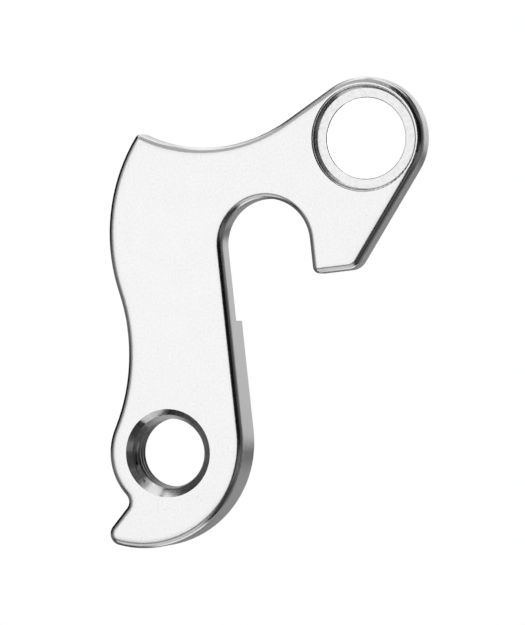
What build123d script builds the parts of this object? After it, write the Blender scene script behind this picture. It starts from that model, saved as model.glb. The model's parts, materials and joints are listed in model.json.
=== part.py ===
"""Bicycle derailleur hanger: one aluminium plate that bolts to the frame and carries the rear derailleur.

+X points forward on the bicycle, +Z up and +Y inward, towards the wheel.
The origin is on the axis of the frame bolt, in the seat plane that bears on the frame.
All sizes are in millimetres, and angles in degrees are counted from forward, rising.
"""

import os
from math import atan2, cos, degrees, radians, sin, sqrt

from build123d import *

# Plate
plate_thickness = 3.3
eye_step = 2.5
edge_round = 0.8
back_break = 0.3

# Recessed hole for the frame bolt, and the boss around it
bolt_bore = 10.5
bolt_edge_break = 0.1
recess_ledge = 1.55
recess_depth = 1.25
recess_corner = 0.3
rim_round = 0.2
boss_wall = 1.13

# Slot for the wheel axle
axle_back = 13.25
axle_drop = 13.6
slot_width = 11.8
slot_lean = 6.4
shoulder_drop = 9.4

# Tab in front of the slot
tab_reach = 4.65
tab_rear_round = 0.9
tab_front_round = 2.2
flank_angle = -31.5

# Top edge, from the boss back to the horn
neck_angle = 124.3
neck_length = 7.1
hollow_radius = 20.3
horn_round = 0.8

# Rear edge
rear_reach = 34.8
crown_drop = 12.08
back_radius = 23.7
waist_radius = 25.0

# Threaded eye for the derailleur bolt, M10 x 1
eye_back = 13.27
eye_below_axle = 27.33
eye_wall = 3.15
thread_major = 10.0
thread_pitch = 1.0
thread_chamfer = 1.28

# Stop for the derailleur's tension screw, and the chin below it
stop_angle = 231.3
stop_notch_round = 1.3
stop_tip_round = 1.5
chin_radius = 13.85
chin_drop = 12.55

# Worked out from the sizes above
recess_radius = bolt_bore / 2 + recess_ledge
boss_radius = recess_radius + boss_wall
slot_radius = slot_width / 2
thread_minor = thread_major - thread_pitch
eye_radius = thread_major / 2 + eye_wall

# Ways round an arc of the outline
LEFT = 1
RIGHT = -1

# Closest that two points count as one
same_place = 0.001


def heading(angle):
    """Unit vector of the side view at an angle from forward."""
    return Vector(cos(radians(angle)), sin(radians(angle)))


def bearing(centre, point):
    """Angle from forward at which a centre sees a point of the side view."""
    return degrees(atan2(point.Y - centre.Y, point.X - centre.X))


def between(centre_a, reach_a, centre_b, reach_b):
    """Point at given reaches from two centres, on the left hand from the first centre to the second."""
    base = centre_b - centre_a
    along = (reach_a**2 - reach_b**2 + base.length**2) / (2 * base.length)
    aside = sqrt(reach_a**2 - along**2)
    forward = base.normalized()
    left = Vector(-forward.Y, forward.X)
    return centre_a + forward * along + left * aside


def facing(centre, radius, other):
    """Point of a circle that faces another point."""
    return centre + (other - centre).normalized() * radius


def arc_about(centre, start, end, turn):
    """Arc around a centre from start to end, turning left or right."""
    sweep = turn * (bearing(centre, end) - bearing(centre, start)) % 360
    middle = heading(bearing(centre, start) + turn * sweep / 2)
    return ThreePointArc(start, centre + middle * (start - centre).length, end)


def level(y):
    """Plane of the side view at a place across the plate, seen from outside."""
    return Plane(origin=(0, y, 0), x_dir=(1, 0, 0), z_dir=(0, -1, 0))


def rings(part, centre, plane):
    """Round edges of a part about a centre of the side view in one plane, the smallest first."""
    middle = plane.from_local_coords(centre)
    circles = part.edges().filter_by(GeomType.CIRCLE)
    here = circles.filter_by(lambda edge: (edge.arc_center - middle).length < same_place)
    return here.filter_by(lambda edge: edge.is_closed).sort_by(SortBy.RADIUS)


def corner(sketch, point):
    """Vertex of a sketch at a point of the side view."""
    return sketch.vertices().sort_by_distance(point)[0]


# Boss, neck and hollow, from the front back along the top
bolt = Vector(0, 0)
flank_outward = heading(flank_angle)
flank_top = bolt + flank_outward * boss_radius
neck_outward = heading(neck_angle)
neck_start = bolt + neck_outward * boss_radius
neck_end = neck_start + heading(neck_angle + 90) * neck_length
hollow = neck_end + neck_outward * hollow_radius

# Slot, with the tab in front of it
axle = Vector(-axle_back, -axle_drop)
slot_down = heading(slot_lean - 90)
slot_forward = heading(slot_lean)
slot_rear = axle - slot_forward * slot_radius
slot_front = axle + slot_forward * slot_radius
tab_rear = slot_front + slot_down * tab_reach
tab_width = (boss_radius - tab_rear.dot(flank_outward)) / slot_forward.dot(flank_outward)
tab_front = tab_rear + slot_forward * tab_width

# Rear edge, from the horn down to the eye
eye = axle - Vector(eye_back, eye_below_axle)
crown = Vector(back_radius - rear_reach, -crown_drop)
horn_tip = between(crown, back_radius, hollow, hollow_radius)
waist = between(eye, eye_radius + waist_radius, crown, back_radius + waist_radius)
waist_top = facing(crown, back_radius, waist)
waist_foot = facing(eye, eye_radius, waist)

# Chin, tangent to the front of the leg, and the stop that ends it
chin_level = eye.Y - chin_drop + chin_radius
chin_line = axle - slot_forward * (slot_radius + chin_radius)
chin = chin_line + slot_down * ((chin_level - chin_line.Y) / slot_down.Y)
leg_foot = chin + slot_forward * chin_radius
stop_line = heading(stop_angle)
stop_to_chin = (chin - eye).dot(stop_line)
stop_length = stop_to_chin + sqrt(chin_radius**2 - (chin - eye).length ** 2 + stop_to_chin**2)
stop_notch = eye + stop_line * eye_radius
stop_tip = eye + stop_line * stop_length

# Levels across the plate, from the outer face in
front_face = level(-plate_thickness)
recess_floor = level(recess_depth - plate_thickness)
seat_face = level(0)
back_face = level(eye_step)
seat_span = 2 * (rear_reach + boss_radius)
down_the_slot = Axis(seat_face.origin, seat_face.from_local_coords(slot_down))


with BuildPart() as hanger:
    # The whole outline, as thick as the eye end
    with BuildSketch(back_face) as outline:
        with BuildLine():
            arc_about(bolt, flank_top, neck_start, LEFT)
            Line(neck_start, neck_end)
            arc_about(hollow, neck_end, horn_tip, RIGHT)
            arc_about(crown, horn_tip, waist_top, LEFT)
            arc_about(waist, waist_top, waist_foot, RIGHT)
            arc_about(eye, waist_foot, stop_notch, LEFT)
            Line(stop_notch, stop_tip)
            arc_about(chin, stop_tip, leg_foot, LEFT)
            Line(leg_foot, slot_rear)
            arc_about(axle, slot_rear, slot_front, RIGHT)
            Line(slot_front, tab_rear)
            Line(tab_rear, tab_front)
            Line(tab_front, flank_top)
        make_face()
        fillet(corner(outline, horn_tip), horn_round)
        fillet(corner(outline, stop_notch), stop_notch_round)
        fillet(corner(outline, stop_tip), stop_tip_round)
        fillet(corner(outline, tab_rear), tab_rear_round)
        fillet(corner(outline, tab_front), tab_front_round)
    extrude(amount=eye_step + plate_thickness)
    fillet(hanger.faces().sort_by(Axis.Y)[0].edges(), edge_round)

    # The seat on the frame, cut into the back above the shoulder
    with BuildSketch(back_face) as seat_cut:
        with Locations(axle + slot_down * shoulder_drop):
            Rectangle(seat_span, seat_span, slot_lean, align=(Align.CENTER, Align.MIN))
    extrude(amount=eye_step, mode=Mode.SUBTRACT)

    # Broken edges all round the back, apart from the inner corner under the shoulder
    seat, eye_pad = hanger.faces().filter_by(Axis.Y).sort_by(Axis.Y)[-2:]
    chamfer(eye_pad.edges() + seat.edges().sort_by(down_the_slot)[:-1], back_break)

    # Recessed hole for the frame bolt
    with Locations(front_face):
        CounterBoreHole(bolt_bore / 2, recess_radius, recess_depth)
    fillet(rings(hanger, bolt, front_face), rim_round)
    chamfer(rings(hanger, bolt, recess_floor)[-1], recess_corner)
    chamfer(rings(hanger, bolt, recess_floor)[0], bolt_edge_break)

    # Tapped hole for the derailleur bolt, at its minor diameter
    with Locations(front_face):
        with Locations(eye):
            Hole(thread_minor / 2)
    chamfer(rings(hanger, eye, front_face) + rings(hanger, eye, back_face), thread_chamfer)

hanger.part.label = "hanger"
os.makedirs("parts", exist_ok=True)
export_step(hanger.part, "parts/hanger.step")
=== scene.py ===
"""Looks of the bicycle derailleur hanger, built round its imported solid.

The hanger is one plate of aluminium: a tumbled satin skin, milled side walls, a turned recess for
the frame bolt and a tapped eye for the derailleur bolt. Everything is in metres, in the frame of
the solid: +X forward on the bicycle, +Y inward, +Z up, with the outer face looking along -Y.
"""

from __future__ import annotations

import json
import logging
import math
from dataclasses import dataclass
from enum import Enum
from typing import Callable, Sequence, Union

import bpy
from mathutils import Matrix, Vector
from mathutils.geometry import intersect_point_line
from mathutils.kdtree import KDTree


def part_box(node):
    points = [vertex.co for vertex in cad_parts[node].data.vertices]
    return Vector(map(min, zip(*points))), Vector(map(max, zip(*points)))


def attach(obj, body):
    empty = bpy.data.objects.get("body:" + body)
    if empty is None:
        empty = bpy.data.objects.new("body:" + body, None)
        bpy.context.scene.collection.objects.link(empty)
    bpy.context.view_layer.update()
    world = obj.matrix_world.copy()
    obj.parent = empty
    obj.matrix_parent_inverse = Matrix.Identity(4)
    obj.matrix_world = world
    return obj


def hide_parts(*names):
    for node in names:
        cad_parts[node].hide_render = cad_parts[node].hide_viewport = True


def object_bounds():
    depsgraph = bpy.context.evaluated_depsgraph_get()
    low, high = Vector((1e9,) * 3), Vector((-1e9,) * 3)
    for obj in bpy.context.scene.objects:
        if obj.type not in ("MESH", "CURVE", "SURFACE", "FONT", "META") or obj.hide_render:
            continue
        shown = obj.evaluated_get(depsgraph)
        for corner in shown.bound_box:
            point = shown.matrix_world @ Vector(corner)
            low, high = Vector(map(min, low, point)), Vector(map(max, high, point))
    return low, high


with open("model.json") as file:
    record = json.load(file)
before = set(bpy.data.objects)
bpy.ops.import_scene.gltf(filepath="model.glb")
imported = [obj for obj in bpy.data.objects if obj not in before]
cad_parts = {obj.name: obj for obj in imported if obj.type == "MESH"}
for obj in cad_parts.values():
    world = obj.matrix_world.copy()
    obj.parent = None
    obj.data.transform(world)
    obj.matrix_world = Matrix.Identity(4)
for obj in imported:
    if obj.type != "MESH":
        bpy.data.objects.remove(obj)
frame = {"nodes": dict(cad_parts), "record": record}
cad_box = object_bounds()

LOG = logging.getLogger("hanger")
MM = 0.001
INSET = "inset"

# Sockets of a Mix node for colours
MIX_LOW, MIX_HIGH, MIX_RESULT = 6, 7, 2

# Middle of the picture across and up the plate
AIM_X, AIM_Z = -13.5855 * MM, -22.52 * MM

Colour = tuple[float, float, float]
Value = Union["Wire", float, Colour, Sequence[float]]


def grey(level: float) -> Colour:
    """A grey of a given level."""
    return (level, level, level)


class Wire:
    """An output socket that takes part in shader maths as a number does."""

    def __init__(self, bench: Bench, socket: bpy.types.NodeSocket) -> None:
        """Keeps the socket and the bench that its maths nodes go to.

        Args:
            bench: the node bench of the material.
            socket: the output that this wire leaves from.
        """
        self.bench = bench
        self.socket = socket

    def maths(self, operation: str, *others: Value) -> Wire:
        """Adds one Math node.

        Args:
            operation: the node's operation.
            others: the values after this one.

        Returns:
            The node's result.
        """
        values = dict(enumerate((self, *others)))
        return self.bench.add("ShaderNodeMath", {"operation": operation}, values)

    def swapped(self, operation: str, other: Value) -> Wire:
        """Adds one Math node with this wire as the second value.

        Args:
            operation: the node's operation.
            other: the first value.

        Returns:
            The node's result.
        """
        return self.bench.add("ShaderNodeMath", {"operation": operation}, {0: other, 1: self})

    def __add__(self, other: Value) -> Wire:
        """Sum of two values."""
        return self.maths("ADD", other)

    def __radd__(self, other: Value) -> Wire:
        """Sum with a number on the left."""
        return self.swapped("ADD", other)

    def __sub__(self, other: Value) -> Wire:
        """Difference of two values."""
        return self.maths("SUBTRACT", other)

    def __rsub__(self, other: Value) -> Wire:
        """Difference from a number on the left."""
        return self.swapped("SUBTRACT", other)

    def __mul__(self, other: Value) -> Wire:
        """Product of two values."""
        return self.maths("MULTIPLY", other)

    def __rmul__(self, other: Value) -> Wire:
        """Product with a number on the left."""
        return self.swapped("MULTIPLY", other)

    def __truediv__(self, other: Value) -> Wire:
        """Quotient of two values."""
        return self.maths("DIVIDE", other)

    def step(self, start: float, end: float) -> Wire:
        """Smooth step of this value.

        Args:
            start: where the step is 0.
            end: where the step is 1.

        Returns:
            The step, from 0 to 1.
        """
        settings = {"interpolation_type": "SMOOTHSTEP"}
        values = {"Value": self, "From Min": start, "From Max": end}
        return self.bench.add("ShaderNodeMapRange", settings, values)


class Bench:
    """A material with its Principled shader, and the one method that adds nodes to it."""

    def __init__(self, name: str) -> None:
        """Makes the material.

        Args:
            name: the material's name.
        """
        self.material = bpy.data.materials.new(name)
        self.material.use_nodes = True
        self.tree = self.material.node_tree
        self.shader = self.tree.nodes["Principled BSDF"]

    def put(self, socket: bpy.types.NodeSocket, value: Value) -> None:
        """Links a wire to a socket, or sets a plain value on it.

        Args:
            socket: the input socket.
            value: a wire, a number, a colour or a vector.
        """
        if isinstance(value, Wire):
            self.tree.links.new(value.socket, socket)
        elif socket.type == "RGBA" and len(value) == 3:
            socket.default_value = (*value, 1.0)
        else:
            socket.default_value = value

    def add(self, kind: str, settings: dict, values: dict, output: int | str = 0) -> Wire:
        """Adds a node.

        Args:
            kind: the node's type.
            settings: its properties, set first.
            values: what goes into its sockets, by name or number.
            output: the output that is used.

        Returns:
            The wire that leaves that output.
        """
        node = self.tree.nodes.new(kind)
        for name, setting in settings.items():
            setattr(node, name, setting)
        for name, value in values.items():
            self.put(node.inputs[name], value)
        return Wire(self, node.outputs[output])

    def place(self) -> Wire:
        """Place on the piece, in metres."""
        return self.add("ShaderNodeTexCoord", {}, {}, "Object")

    def mapped(self, centre: Vector, scale: Sequence[float]) -> Wire:
        """Place about a centre, stretched along the axes.

        Args:
            centre: the new origin, in metres.
            scale: the factor along each axis.

        Returns:
            The mapped place.
        """
        values = {0: self.place(), 1: tuple(centre)}
        moved = self.add("ShaderNodeVectorMath", {"operation": "SUBTRACT"}, values)
        values = {0: moved, 1: tuple(scale)}
        return self.add("ShaderNodeVectorMath", {"operation": "MULTIPLY"}, values)

    def noise(self, place: Wire, grain: float, detail: float = 2.0) -> Wire:
        """Noise with grains of a given size.

        Args:
            place: where the noise is read.
            grain: the size of a grain, in metres.
            detail: how many finer layers there are.

        Returns:
            The noise, about 0.5.
        """
        values = {"Vector": place, "Scale": 1.0 / grain, "Detail": detail}
        return self.add("ShaderNodeTexNoise", {}, values, "Fac")

    def reach(self, centre: Vector) -> Wire:
        """Distance from an axis along Y, in metres.

        Args:
            centre: a point of the axis.

        Returns:
            The distance.
        """
        across = self.mapped(centre, (1.0, 0.0, 1.0))
        return self.add("ShaderNodeVectorMath", {"operation": "LENGTH"}, {0: across}, "Value")

    def tint(self, share: Wire, low: Value, high: Value) -> Wire:
        """Colour between two others.

        Args:
            share: 0 for the first colour and 1 for the second.
            low: the first colour.
            high: the second colour.

        Returns:
            The mixed colour.
        """
        values = {"Factor": share, MIX_LOW: low, MIX_HIGH: high}
        return self.add("ShaderNodeMix", {"data_type": "RGBA"}, values, MIX_RESULT)

    def bump(
        self, height: Wire, depth: float, strength: float = 1.0, under: Wire | None = None,
    ) -> Wire:
        """Normal of a surface with a given relief.

        Args:
            height: the relief, from 0 to 1.
            depth: what 1 stands for, in metres.
            strength: how much of it shows.
            under: the normal that the relief lies on, if it isn't the plain surface's.

        Returns:
            The bumped normal.
        """
        values = {"Strength": strength, "Distance": depth, "Height": height}
        if under:
            values["Normal"] = under
        return self.add("ShaderNodeBump", {}, values)

    def finish(self, **values: Value) -> bpy.types.Material:
        """Fills the shader's sockets.

        Args:
            values: the sockets by name, with _ for a space.

        Returns:
            The finished material.
        """
        for name, value in values.items():
            self.put(self.shader.inputs[name.replace("_", " ")], value)
        return self.material


@dataclass(frozen=True)
class SatinSkin:
    """Tumbled and clear-anodised aluminium of the faces and rounded edges."""

    name: str = "satin_aluminium"
    bright: Colour = grey(0.955)
    dull: Colour = grey(0.825)
    speck: Colour = grey(0.50)
    roughness: float = 0.20
    roughness_spread: float = 0.05
    grain: float = 0.33 * MM
    grain_limits: tuple[float, float] = (0.3, 0.7)
    grain_share: float = 0.31
    cloud: float = 3.0 * MM
    cloud_share: float = 0.69
    cloud_detail: float = 3.0
    speck_gap: float = 1.3 * MM
    speck_limits: tuple[float, float] = (0.0275, 0.055)
    speck_tint: float = 0.6
    speck_roughness: float = 0.1
    relief: float = 0.0015 * MM
    relief_strength: float = 0.5
    shoulder: float = 0.65 * MM
    roll: float = math.radians(4.0)

    def material(self) -> bpy.types.Material:
        """Mixes the skin: grains and clouds, a few specks, and a border that rolls off.

        Returns:
            The skin's material.
        """
        bench = Bench(self.name)
        place = bench.place()
        inset = bench.add("ShaderNodeAttribute", {"attribute_name": INSET}, {}, "Fac")
        slope = (1.0 - inset / self.shoulder).maths("MAXIMUM", 0.0)
        rolled = bench.bump(1.0 - slope * slope, self.shoulder * math.tan(self.roll) / 2)
        grain = bench.noise(place, self.grain)
        cloud = bench.noise(place, self.cloud, self.cloud_detail)
        values = {"Vector": place, "Scale": 1.0 / self.speck_gap, "Randomness": 1.0}
        speck = bench.add("ShaderNodeTexVoronoi", {}, values, "Distance")
        pit = 1.0 - speck.step(*self.speck_limits)
        share = self.grain_share * grain.step(*self.grain_limits) + self.cloud_share * cloud
        metal = bench.tint(share, self.dull, self.bright)
        spread = self.roughness_spread * (cloud - 0.5) + self.speck_roughness * pit
        return bench.finish(
            Base_Color=bench.tint(self.speck_tint * pit, metal, self.speck),
            Metallic=1.0,
            Roughness=self.roughness + spread,
            Normal=bench.bump(grain - pit, self.relief, self.relief_strength, rolled),
        )


@dataclass(frozen=True)
class MilledWallPaintedShade:
    """Side walls, with the fine marks that the cutter left along the thickness, on greys well below
    the skin's that are partly painted shade.
    """

    name: str = "milled_aluminium_painted_shade"
    # Painted shade in part: these greys sit below the skin's and stand for the shade that the walls
    # mirror; the cutter marks and roughness are real.
    bright: Colour = grey(0.70)
    dull: Colour = grey(0.58)
    roughness: float = 0.34
    roughness_spread: float = 0.1
    mark: float = 0.18 * MM
    mark_share: float = 0.6
    mark_detail: float = 3.0
    stretch: float = 12.0
    cloud: float = 1.44 * MM
    cloud_share: float = 0.4
    relief: float = 0.003 * MM
    relief_strength: float = 0.4

    def material(self) -> bpy.types.Material:
        """Mixes the wall: cutter marks drawn out along Y, over soft clouds.

        Returns:
            The wall's material.
        """
        bench = Bench(self.name)
        along = bench.mapped(Vector((0.0, 0.0, 0.0)), (1.0, 1.0 / self.stretch, 1.0))
        mark = bench.noise(along, self.mark, self.mark_detail)
        cloud = bench.noise(bench.place(), self.cloud)
        share = self.mark_share * mark + self.cloud_share * cloud
        return bench.finish(
            Base_Color=bench.tint(share, self.dull, self.bright),
            Metallic=1.0,
            Roughness=self.roughness + self.roughness_spread * (mark - 0.5),
            Normal=bench.bump(mark, self.relief, self.relief_strength),
        )


@dataclass(frozen=True)
class TurnedRing:
    """Turned metal of a hole, with rings left by the tool."""

    name: str
    centre: Vector
    bright: Colour = grey(0.92)
    dull: Colour = grey(0.84)
    roughness: float = 0.30
    roughness_spread: float = 0.08
    feed: float = 0.12 * MM
    groove_share: float = 0.4
    wander: float = 1.5
    wander_size: float = 1.5 * MM
    mottle: float = 0.5 * MM
    mottle_limits: tuple[float, float] = (0.35, 0.65)
    mottle_share: float = 0.6
    mottle_detail: float = 4.0
    relief: float = 0.002 * MM
    relief_strength: float = 0.25

    def material(self) -> bpy.types.Material:
        """Mixes the ring: fine grooves about the axis that wander a little, over a mottle.

        Returns:
            The ring's material.
        """
        bench = Bench(self.name)
        place = bench.place()
        depth = bench.add("ShaderNodeSeparateXYZ", {}, {0: place}, "Y")
        sway = self.wander * (bench.noise(place, self.wander_size) - 0.5)
        turns = (bench.reach(self.centre) + depth) / self.feed + sway
        groove = 0.5 + 0.5 * (turns * math.tau).maths("SINE")
        mottle = bench.noise(place, self.mottle, self.mottle_detail).step(*self.mottle_limits)
        share = self.groove_share * groove + self.mottle_share * mottle
        return bench.finish(
            Base_Color=bench.tint(share, self.dull, self.bright),
            Metallic=1.0,
            Roughness=self.roughness + self.roughness_spread * (mottle - 0.5),
            Normal=bench.bump(groove, self.relief, self.relief_strength),
        )


class Region(Enum):
    """Where a finish goes on the plate."""

    SKIN = "skin"
    WALL = "wall"
    RECESS = "recess"
    RECESS_WALL = "recess wall"
    COUNTERSINK = "countersink"
    THREAD = "thread"


class Hands:
    """Selecting and editing as by hand."""

    @staticmethod
    def hold(piece: bpy.types.Object) -> None:
        """Selects one object alone and makes it active.

        Args:
            piece: the object.
        """
        bpy.ops.object.select_all(action="DESELECT")
        piece.select_set(True)
        bpy.context.view_layer.objects.active = piece

    @staticmethod
    def select(piece: bpy.types.Object, mode: str, wanted: Callable[..., bool]) -> None:
        """Selects the vertices, edges or faces that pass a test, and stays in edit mode.

        Args:
            piece: the object, in object mode.
            mode: VERT, EDGE or FACE.
            wanted: the test, given a vertex, an edge or a face.
        """
        Hands.hold(piece)
        bpy.ops.object.mode_set(mode="EDIT")
        bpy.ops.mesh.select_mode(type=mode)
        bpy.ops.mesh.select_all(action="DESELECT")
        bpy.ops.object.mode_set(mode="OBJECT")
        mesh = piece.data
        items = {"VERT": mesh.vertices, "EDGE": mesh.edges, "FACE": mesh.polygons}
        for item in items[mode]:
            item.select = wanted(item)
        bpy.ops.object.mode_set(mode="EDIT")

    @staticmethod
    def apply(piece: bpy.types.Object, kind: str, **settings: object) -> None:
        """Adds a modifier and applies it.

        Args:
            piece: the object.
            kind: the modifier's type.
            settings: its properties.
        """
        Hands.hold(piece)
        modifier = piece.modifiers.new(kind.lower(), kind)
        for name, setting in settings.items():
            setattr(modifier, name, setting)
        bpy.ops.object.modifier_apply(modifier=modifier.name)


@dataclass
class TappedEye:
    """The derailleur eye's thread: a right-hand V of 60 degrees, cut by a helical tooth."""

    centre: Vector
    minor_radius: float
    pitch: float = 1.0 * MM
    depth: float = 0.6 * MM
    tip: float = 0.2 * MM
    flank_angle: float = math.radians(30.0)
    chamfer: float = 1.28 * MM
    overlap: float = 0.2 * MM
    lead_out: float = 1.8 * MM
    corners: int = 4
    steps: int = 120
    weld: float = 0.0001 * MM

    @property
    def major_radius(self) -> float:
        """Radius at the bottom of the thread."""
        return self.minor_radius + self.depth

    @property
    def mouth_radius(self) -> float:
        """Radius where the chamfer meets the face."""
        return self.minor_radius + self.chamfer

    def tooth(self, low: float, high: float) -> bpy.types.Object:
        """The helical tooth that cuts the thread.

        Args:
            low: the Y of the outer face.
            high: the Y of the inner face.

        Returns:
            The tooth as a closed mesh object.
        """
        inner_radius = self.minor_radius - self.overlap
        height = self.major_radius - inner_radius
        middle = inner_radius + height / 2
        base = self.tip + 2 * height * math.tan(self.flank_angle)
        bpy.ops.object.select_all(action="DESELECT")
        bpy.ops.mesh.primitive_plane_add(size=1.0, enter_editmode=True)
        bpy.ops.transform.resize(value=(height, base, 1.0), center_override=(0.0, 0.0, 0.0))
        bpy.ops.transform.translate(value=(middle, 0.0, 0.0))
        bpy.ops.mesh.delete(type="ONLY_FACE")
        bpy.ops.object.mode_set(mode="OBJECT")
        tooth = bpy.context.active_object
        Hands.select(tooth, "VERT", lambda vertex: vertex.co.x > middle)
        narrow = (1.0, self.tip / base, 1.0)
        bpy.ops.transform.resize(value=narrow, center_override=(self.major_radius, 0.0, 0.0))
        bpy.ops.object.mode_set(mode="OBJECT")
        turns = math.ceil((high - low + 2 * self.lead_out) / self.pitch)
        Hands.apply(
            tooth,
            "SCREW",
            axis="Y",
            angle=math.tau,
            screw_offset=self.pitch,
            iterations=turns,
            steps=self.steps,
            render_steps=self.steps,
        )
        bpy.ops.object.mode_set(mode="EDIT")
        bpy.ops.mesh.select_all(action="SELECT")
        bpy.ops.mesh.remove_doubles(threshold=self.weld)
        bpy.ops.mesh.fill_holes(sides=self.corners)
        bpy.ops.mesh.select_all(action="SELECT")
        bpy.ops.mesh.normals_make_consistent(inside=False)
        bpy.ops.object.mode_set(mode="OBJECT")
        tooth.location = (self.centre.x, low - self.lead_out, self.centre.z)
        bpy.ops.object.transform_apply(location=True, rotation=False, scale=False)
        return tooth


@dataclass
class HangerPlate:
    """The plate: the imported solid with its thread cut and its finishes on."""

    node: bpy.types.Object
    eye: TappedEye
    bolt: Vector
    bore_radius: float = 5.25 * MM
    recess_radius: float = 6.8 * MM
    rim_round: float = 0.2 * MM
    edge_round: float = 0.8 * MM
    first_row: float = 0.02 * MM
    ease: float = 0.14 * MM
    ease_steps: int = 3
    net: float = 0.8 * MM
    net_snap: float = 0.05 * MM
    neighbours: int = 12
    hairline: float = 0.001 * MM
    weld: float = 0.0005 * MM
    same_plane: float = math.radians(0.5)
    smooth_angle: float = math.radians(32.0)
    hard_angle: float = math.radians(35.0)
    upright_tilt: float = 0.005
    wall_tilt: float = 0.25
    cone_tilt: tuple[float, float] = (0.65, 0.76)
    level_tilt: float = 0.999
    flat_tilt: float = 0.9999
    flat_weight: int = 100

    def from_bolt(self, point: Vector) -> Vector:
        """Way from the bolt's axis out to a point, square to the axis."""
        return Vector((point.x - self.bolt.x, 0.0, point.z - self.bolt.z))

    def from_eye(self, point: Vector) -> Vector:
        """Way from the eye's axis out to a point, square to the axis."""
        return Vector((point.x - self.eye.centre.x, 0.0, point.z - self.eye.centre.z))

    @property
    def ledge_radius(self) -> float:
        """Radius in the middle of the ledge between the bore and the recess's wall."""
        return (self.bore_radius + self.recess_radius) / 2

    def merged_copy(self) -> bpy.types.Object:
        """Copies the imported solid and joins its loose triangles.

        Returns:
            The copy, with no materials.
        """
        piece = bpy.data.objects.new("hanger_plate", self.node.data.copy())
        bpy.context.scene.collection.objects.link(piece)
        piece.data.materials.clear()
        Hands.hold(piece)
        bpy.ops.object.mode_set(mode="EDIT")
        bpy.ops.mesh.select_all(action="SELECT")
        bpy.ops.mesh.remove_doubles(threshold=self.weld)
        bpy.ops.mesh.customdata_custom_splitnormals_clear()
        bpy.ops.object.mode_set(mode="OBJECT")
        return piece

    def depth(self, point: Vector) -> float:
        """Depth of a point behind the flat front."""
        return point.y - cad_box[0].y

    def clear_of_holes(self, point: Vector) -> bool:
        """Whether a point of the front lies outside both holes and their rims."""
        off_bolt = self.from_bolt(point).length > self.recess_radius + 2 * self.rim_round
        return off_bolt and self.from_eye(point).length > self.eye.mouth_radius + self.rim_round

    def comb_round(self, piece: bpy.types.Object) -> None:
        """Trades the fans of triangles on the front edge's round for even rows.

        Args:
            piece: the plate, all in triangles.
        """
        points = [vertex.co.copy() for vertex in piece.data.vertices]

        def is_spoke(edge: bpy.types.MeshEdge) -> bool:
            """Whether an edge runs from the flat front past the round's first row."""
            near, far = sorted((points[index] for index in edge.vertices), key=self.depth)
            on_round = self.first_row < self.depth(far) < self.edge_round - self.hairline
            return on_round and self.depth(near) < self.hairline and self.clear_of_holes(near)

        Hands.select(piece, "EDGE", is_spoke)
        bpy.ops.mesh.dissolve_edges(use_verts=False)
        bpy.ops.object.mode_set(mode="OBJECT")
        opened = (face for face in piece.data.polygons if len(face.vertices) > 3)
        rows: dict[int, set[int]] = {}
        for index in (index for face in opened for index in face.vertices):
            row = round(self.depth(points[index]) / self.hairline)
            rows.setdefault(row, set()).add(index)
        for members in rows.values():
            Hands.select(piece, "VERT", lambda vertex, wanted=members: vertex.index in wanted)
            bpy.ops.mesh.vert_connect()
            bpy.ops.object.mode_set(mode="OBJECT")

    def tap(self, piece: bpy.types.Object) -> None:
        """Cuts the thread into the eye.

        Args:
            piece: the plate.
        """
        low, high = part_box("hanger")
        tooth = self.eye.tooth(low.y, high.y)
        Hands.apply(piece, "BOOLEAN", object=tooth, operation="DIFFERENCE", solver="EXACT")
        bpy.data.objects.remove(tooth)

    def ease_recess(self, piece: bpy.types.Object) -> None:
        """Rounds the hard corners inside the bolt's recess.

        Args:
            piece: the plate.
        """
        inside = self.recess_radius + self.rim_round / 2
        Hands.select(piece, "FACE", lambda face: self.from_bolt(face.center).length < inside)
        bpy.ops.mesh.tris_convert_to_quads()
        bpy.ops.mesh.select_all(action="DESELECT")
        bpy.ops.mesh.select_mode(type="EDGE")
        bpy.ops.mesh.edges_select_sharp(sharpness=self.hard_angle)
        bpy.ops.object.mode_set(mode="OBJECT")
        vertices = piece.data.vertices
        for edge in piece.data.edges:
            spans = [self.from_bolt(vertices[index].co).length for index in edge.vertices]
            edge.select = edge.select and self.ledge_radius < min(spans) and max(spans) < inside
        for face in piece.data.polygons:
            face.select = False
        bpy.ops.object.mode_set(mode="EDIT")
        bpy.ops.mesh.bevel(
            offset=self.ease, segments=self.ease_steps, affect="EDGES", clamp_overlap=True,
        )
        bpy.ops.object.mode_set(mode="OBJECT")

    def is_front(self, face: bpy.types.MeshPolygon) -> bool:
        """Whether a face lies in the flat front of the plate."""
        return face.normal.y < -self.flat_tilt and self.depth(face.center) < self.hairline

    def net_front(self, piece: bpy.types.Object) -> None:
        """Cuts the flat front into a net, so that it can hold a value at each knot.

        Args:
            piece: the plate.
        """
        Hands.select(piece, "FACE", self.is_front)
        bpy.ops.mesh.hide(unselected=True)
        bpy.ops.mesh.dissolve_limited(angle_limit=self.same_plane)
        for axis in (0, 2):
            across = Vector((0.0, 0.0, 0.0))
            across[axis] = 1.0
            span = cad_box[1][axis] - cad_box[0][axis]
            for count in range(1, math.ceil(span / self.net)):
                place = across * (cad_box[0][axis] + count * self.net)
                bpy.ops.mesh.select_all(action="SELECT")
                bpy.ops.mesh.bisect(plane_co=place, plane_no=across, threshold=self.net_snap)
        bpy.ops.mesh.select_all(action="SELECT")
        bpy.ops.mesh.region_to_loop()
        bpy.ops.mesh.mark_sharp()
        bpy.ops.mesh.reveal(select=False)
        bpy.ops.object.mode_set(mode="OBJECT")

    def clean(self, piece: bpy.types.Object) -> None:
        """Takes out the flat slivers that the cuts left.

        Args:
            piece: the plate.
        """
        Hands.select(piece, "FACE", lambda face: True)
        bpy.ops.mesh.dissolve_degenerate(threshold=self.weld)
        bpy.ops.object.mode_set(mode="OBJECT")

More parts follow.
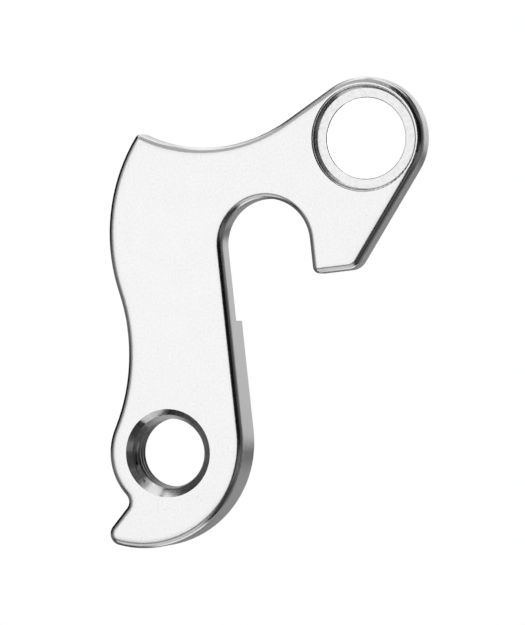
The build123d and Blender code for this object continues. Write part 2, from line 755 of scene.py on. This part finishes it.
    def mark_inset(self, piece: bpy.types.Object) -> None:
        """Stores how far each point of the front lies in from the plate's outline.

        Args:
            piece: the plate.
        """
        mesh = piece.data
        front = [face for face in mesh.polygons if self.is_front(face)]
        uses: dict[tuple[int, int], int] = {}
        for face in front:
            for key in face.edge_keys:
                uses[key] = uses.get(key, 0) + 1
        border = []
        for key in (key for key, count in uses.items() if count == 1):
            ends = [mesh.vertices[index].co for index in key]
            middle = (ends[0] + ends[1]) / 2
            if self.clear_of_holes(middle):
                border.append((middle, ends))
        tree = KDTree(len(border))
        for index, (middle, _) in enumerate(border):
            tree.insert(middle, index)
        tree.balance()
        inset = mesh.attributes.new(INSET, "FLOAT", "POINT")
        for index in {index for face in front for index in face.vertices}:
            point = mesh.vertices[index].co
            nearby = tree.find_n(point, self.neighbours)
            reaches = [self.to_edge(point, border[number][1]) for _, number, _ in nearby]
            inset.data[index].value = min(self.net, *reaches)

    @staticmethod
    def to_edge(point: Vector, ends: Sequence[Vector]) -> float:
        """Distance from a point to an edge.

        Args:
            point: the point.
            ends: the edge's two ends.

        Returns:
            The distance.
        """
        foot, share = intersect_point_line(point, *ends)
        if share < 0.0:
            foot = ends[0]
        elif share > 1.0:
            foot = ends[1]
        return (foot - point).length

    def is_straight(self, face: bpy.types.MeshPolygon) -> bool:
        """Whether a face is square to the plate or flat in it, and not part of a round."""
        return not self.upright_tilt <= abs(face.normal.y) <= self.flat_tilt

    def smooth(self, piece: bpy.types.Object) -> None:
        """Shades the rounds smoothly and keeps the flats flat.

        Args:
            piece: the plate.
        """
        Hands.hold(piece)
        bpy.ops.object.shade_smooth_by_angle(angle=self.smooth_angle)
        flats = piece.vertex_groups.new(name="flats")
        straight = (face for face in piece.data.polygons if self.is_straight(face))
        flats.add(list({index for face in straight for index in face.vertices}), 1.0, "REPLACE")
        Hands.apply(
            piece,
            "WEIGHTED_NORMAL",
            mode="FACE_AREA",
            weight=self.flat_weight,
            keep_sharp=True,
            vertex_group=flats.name,
        )
        piece.vertex_groups.clear()

    def region(self, face: bpy.types.MeshPolygon) -> Region:
        """The finish that a face takes.

        Args:
            face: a face of the plate.

        Returns:
            The region that it lies in.
        """
        out = self.from_bolt(face.center)
        tilt = abs(face.normal.y)
        level, steep = tilt > self.level_tilt, tilt < self.wall_tilt
        if self.from_eye(face.center).length < self.eye.mouth_radius and not level:
            sloped = self.cone_tilt[0] < tilt < self.cone_tilt[1]
            return Region.COUNTERSINK if sloped else Region.THREAD
        if face.normal.y > self.wall_tilt:
            return Region.SKIN
        inward = out.dot(face.normal) < 0 and not level
        in_recess = inward and out.length < self.recess_radius + self.rim_round
        if in_recess and steep and out.length > self.ledge_radius:
            return Region.RECESS_WALL
        if in_recess or out.length < self.recess_radius:
            return Region.RECESS
        return Region.WALL if steep else Region.SKIN

    def finishes(self) -> dict[Region, SatinSkin | MilledWallPaintedShade | TurnedRing]:
        """Chooses a finish for each region.

        Returns:
            The finishes, in the order of the material slots.
        """
        eye = self.eye.centre
        return {
            Region.SKIN: SatinSkin(),
            Region.WALL: MilledWallPaintedShade(),
            Region.RECESS: TurnedRing("turned_recess", self.bolt, roughness=0.22),
            # Painted shade: the recess's wall takes far darker greys than the rest of the metal,
            # standing for the shade inside the recess.
            Region.RECESS_WALL: MilledWallPaintedShade("milled_recess_painted_shade", grey(0.46), grey(0.34)),
            Region.COUNTERSINK: TurnedRing("turned_countersink", eye, grey(0.98), grey(0.72), 0.17),
            # Painted shade: the thread takes darker greys than the turned recess, standing for the
            # shade deep in the tapped hole.
            Region.THREAD: TurnedRing("tapped_thread_painted_shade", eye, grey(0.80), grey(0.55), 0.38),
        }

    def dress(self, piece: bpy.types.Object) -> None:
        """Puts each finish on its faces.

        Args:
            piece: the plate.
        """
        for index, (region, finish) in enumerate(self.finishes().items()):
            piece.data.materials.append(finish.material())
            Hands.select(piece, "FACE", lambda face, wanted=region: self.region(face) is wanted)
            piece.active_material_index = index
            bpy.ops.object.material_slot_assign()
            bpy.ops.object.mode_set(mode="OBJECT")

    def build(self) -> bpy.types.Object:
        """Makes the plate.

        Returns:
            The finished piece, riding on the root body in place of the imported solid.
        """
        piece = self.merged_copy()
        self.comb_round(piece)
        self.ease_recess(piece)
        self.tap(piece)
        self.net_front(piece)
        self.clean(piece)
        self.mark_inset(piece)
        self.smooth(piece)
        self.dress(piece)
        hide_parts("hanger")
        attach(piece, "root")
        return piece


class Outline(Enum):
    """Outline of a lamp, with the share of its box that it fills."""

    SQUARE = ("RECTANGLE", 1.0)
    ROUND = ("ELLIPSE", math.pi / 4)


@dataclass(frozen=True)
class Softbox:
    """A flat lamp that faces the hanger, given by the angles in degrees that it is seen under."""

    name: str
    azimuth: float
    elevation: float
    width: float
    height: float
    radiance: float
    distance: float = 0.9
    shape: Outline = Outline.SQUARE

    def span(self, angle: float) -> float:
        """Length that fills an angle at the lamp's distance."""
        return 2 * self.distance * math.tan(math.radians(angle) / 2)

    def build(self, target: Vector) -> None:
        """Hangs the lamp.

        Args:
            target: the point that it faces.
        """
        azimuth, elevation = math.radians(self.azimuth), math.radians(self.elevation)
        level = Vector((math.sin(azimuth), -math.cos(azimuth), 0.0))
        outward = level * math.cos(elevation) + Vector((0.0, 0.0, math.sin(elevation)))
        lamp = bpy.data.lights.new(self.name, "AREA")
        lamp.shape, share = self.shape.value
        lamp.size, lamp.size_y = self.span(self.width), self.span(self.height)
        lamp.energy = self.radiance * math.pi * share * lamp.size * lamp.size_y
        holder = bpy.data.objects.new(self.name, lamp)
        bpy.context.scene.collection.objects.link(holder)
        holder.location = target + outward * self.distance
        holder.rotation_euler = outward.to_track_quat("Z", "Y").to_euler()
        holder.visible_camera = False


@dataclass
class Studio:
    """A pale floor in a white room, and the soft lamps that the metal mirrors."""

    target: Vector
    hole: Vector
    card_gap: float = 1.5 * MM
    card_size: float = 10.4 * MM
    card_radiance: float = 1.0
    floor_drop: float = 0.31
    floor_size: float = 6.0
    floor_colour: Colour = grey(0.95)
    floor_roughness: float = 0.9
    room_colour: Colour = grey(1.0)
    lamps: tuple[Softbox, ...] = (
        Softbox("key", -16.5, 0.0, 27.0, 27.0, 1.09),
        Softbox("near_wing", -41.0, 0.0, 22.0, 40.0, 0.40),
        Softbox("left_wing", -64.0, 0.0, 24.0, 50.0, 0.14),
        Softbox("top_front", -30.0, 58.0, 50.0, 90.0, 0.44),
        Softbox("overhead", 90.0, 76.0, 30.0, 40.0, 0.60),
        Softbox("back_left", 187.0, 34.0, 46.0, 74.0, 0.90),
        Softbox("back_right", 150.0, 16.0, 40.0, 40.0, 0.70),
        Softbox("far_right", 113.0, 5.0, 26.0, 50.0, 0.17),
        Softbox("right", 82.0, 0.0, 36.0, 60.0, 0.06),
        Softbox("back_low", 168.0, -20.0, 66.0, 22.0, 0.42),
        Softbox("front_low", -17.0, -24.0, 50.0, 18.0, 0.20),
        Softbox("floor_front", -17.0, -51.0, 50.0, 36.0, 0.62),
        Softbox("underneath", 90.0, -84.0, 40.0, 36.0, 0.70),
        Softbox("floor_back", 163.0, -65.0, 50.0, 46.0, 0.32),
        Softbox("high_left", -95.0, 63.0, 44.0, 30.0, 0.58),
        Softbox("high_right", 70.0, 42.0, 50.0, 34.0, 0.09),
        Softbox("floor_left", -80.0, -58.0, 50.0, 40.0, 0.12),
        Softbox("floor_far_left", -118.0, -20.0, 82.0, 36.0, 0.14),
        Softbox("low_right", 48.0, -15.0, 52.0, 18.0, 0.13),
        Softbox("floor_right", 60.0, -38.0, 64.0, 36.0, 0.045),
        Softbox("floor_far_right", 122.0, -36.0, 50.0, 30.0, 0.14),
    )

    def floor(self) -> None:
        """Lays the floor."""
        place = (0.0, 0.0, self.target.z - self.floor_drop)
        bpy.ops.mesh.primitive_plane_add(size=self.floor_size, location=place)
        floor = bpy.context.active_object
        floor.name = "floor"
        floor.visible_glossy = False
        bench = Bench("floor_paper")
        paper = bench.finish(Base_Color=self.floor_colour, Roughness=self.floor_roughness)
        floor.data.materials.append(paper)

    def room(self) -> None:
        """Makes the room white to the eye and dark to the metal."""
        world = bpy.data.worlds.new("white_room")
        world.use_nodes = True
        background = world.node_tree.nodes["Background"]
        background.inputs["Color"].default_value = (*self.room_colour, 1.0)
        world.cycles_visibility.glossy = False
        bpy.context.scene.world = world

    def hole_card(self) -> Softbox:
        """Cuts the round white card that the wall of the frame bolt's hole mirrors.

        Returns:
            The card, close behind the plate.
        """
        angle = 2 * math.degrees(math.atan(self.card_size / 2 / self.card_gap))
        return Softbox(
            name="hole_card",
            azimuth=180.0,
            elevation=0.0,
            width=angle,
            height=angle,
            radiance=self.card_radiance,
            distance=self.card_gap,
            shape=Outline.ROUND,
        )

    def build(self) -> None:
        """Sets the floor, the room and the lamps."""
        self.floor()
        self.room()
        for lamp in self.lamps:
            lamp.build(self.target)
        self.hole_card().build(self.hole)


@dataclass
class PhotoCamera:
    """A long lens, level with the hanger and a little to its front."""

    target: Vector
    distance: float = 0.5
    azimuth: float = math.radians(16.7)
    frame_height: float = 81.17 * MM
    sensor: float = 36.0
    clip: tuple[float, float] = (0.01, 20.0)

    def build(self) -> None:
        """Sets the scene's camera."""
        data = bpy.data.cameras.new("photo_camera")
        data.sensor_width = self.sensor
        data.lens = self.sensor * self.distance / self.frame_height
        data.clip_start, data.clip_end = self.clip
        camera = bpy.data.objects.new("photo_camera", data)
        bpy.context.scene.collection.objects.link(camera)
        back = Vector((math.sin(self.azimuth), -math.cos(self.azimuth), 0.0))
        camera.location = self.target + back * self.distance
        camera.rotation_euler = (-back).to_track_quat("-Z", "Y").to_euler()
        bpy.context.scene.camera = camera


def mount(name: str) -> dict:
    """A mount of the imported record.

    Args:
        name: the mount's name.

    Returns:
        The mount's row.
    """
    return next(row for row in frame["record"]["mounts"] if row["name"] == name)


def main() -> None:
    """Builds the hanger, its stage and its camera."""
    logging.basicConfig(level=logging.INFO)
    tapped = mount("derailleur_thread")
    eye = TappedEye(Vector(tapped["pos_m"]), tapped["dims"]["r_mm"] * MM)
    plate = HangerPlate(frame["nodes"]["hanger"], eye, Vector(mount("frame_bolt")["pos_m"]))
    piece = plate.build()
    LOG.info("%s: %d faces", piece.name, len(piece.data.polygons))
    target = Vector((AIM_X, cad_box[0].y, AIM_Z))
    Studio(target, plate.bolt).build()
    PhotoCamera(target).build()
    bpy.context.scene.view_settings.view_transform = "Standard"


if __name__ == "__main__":
    main()
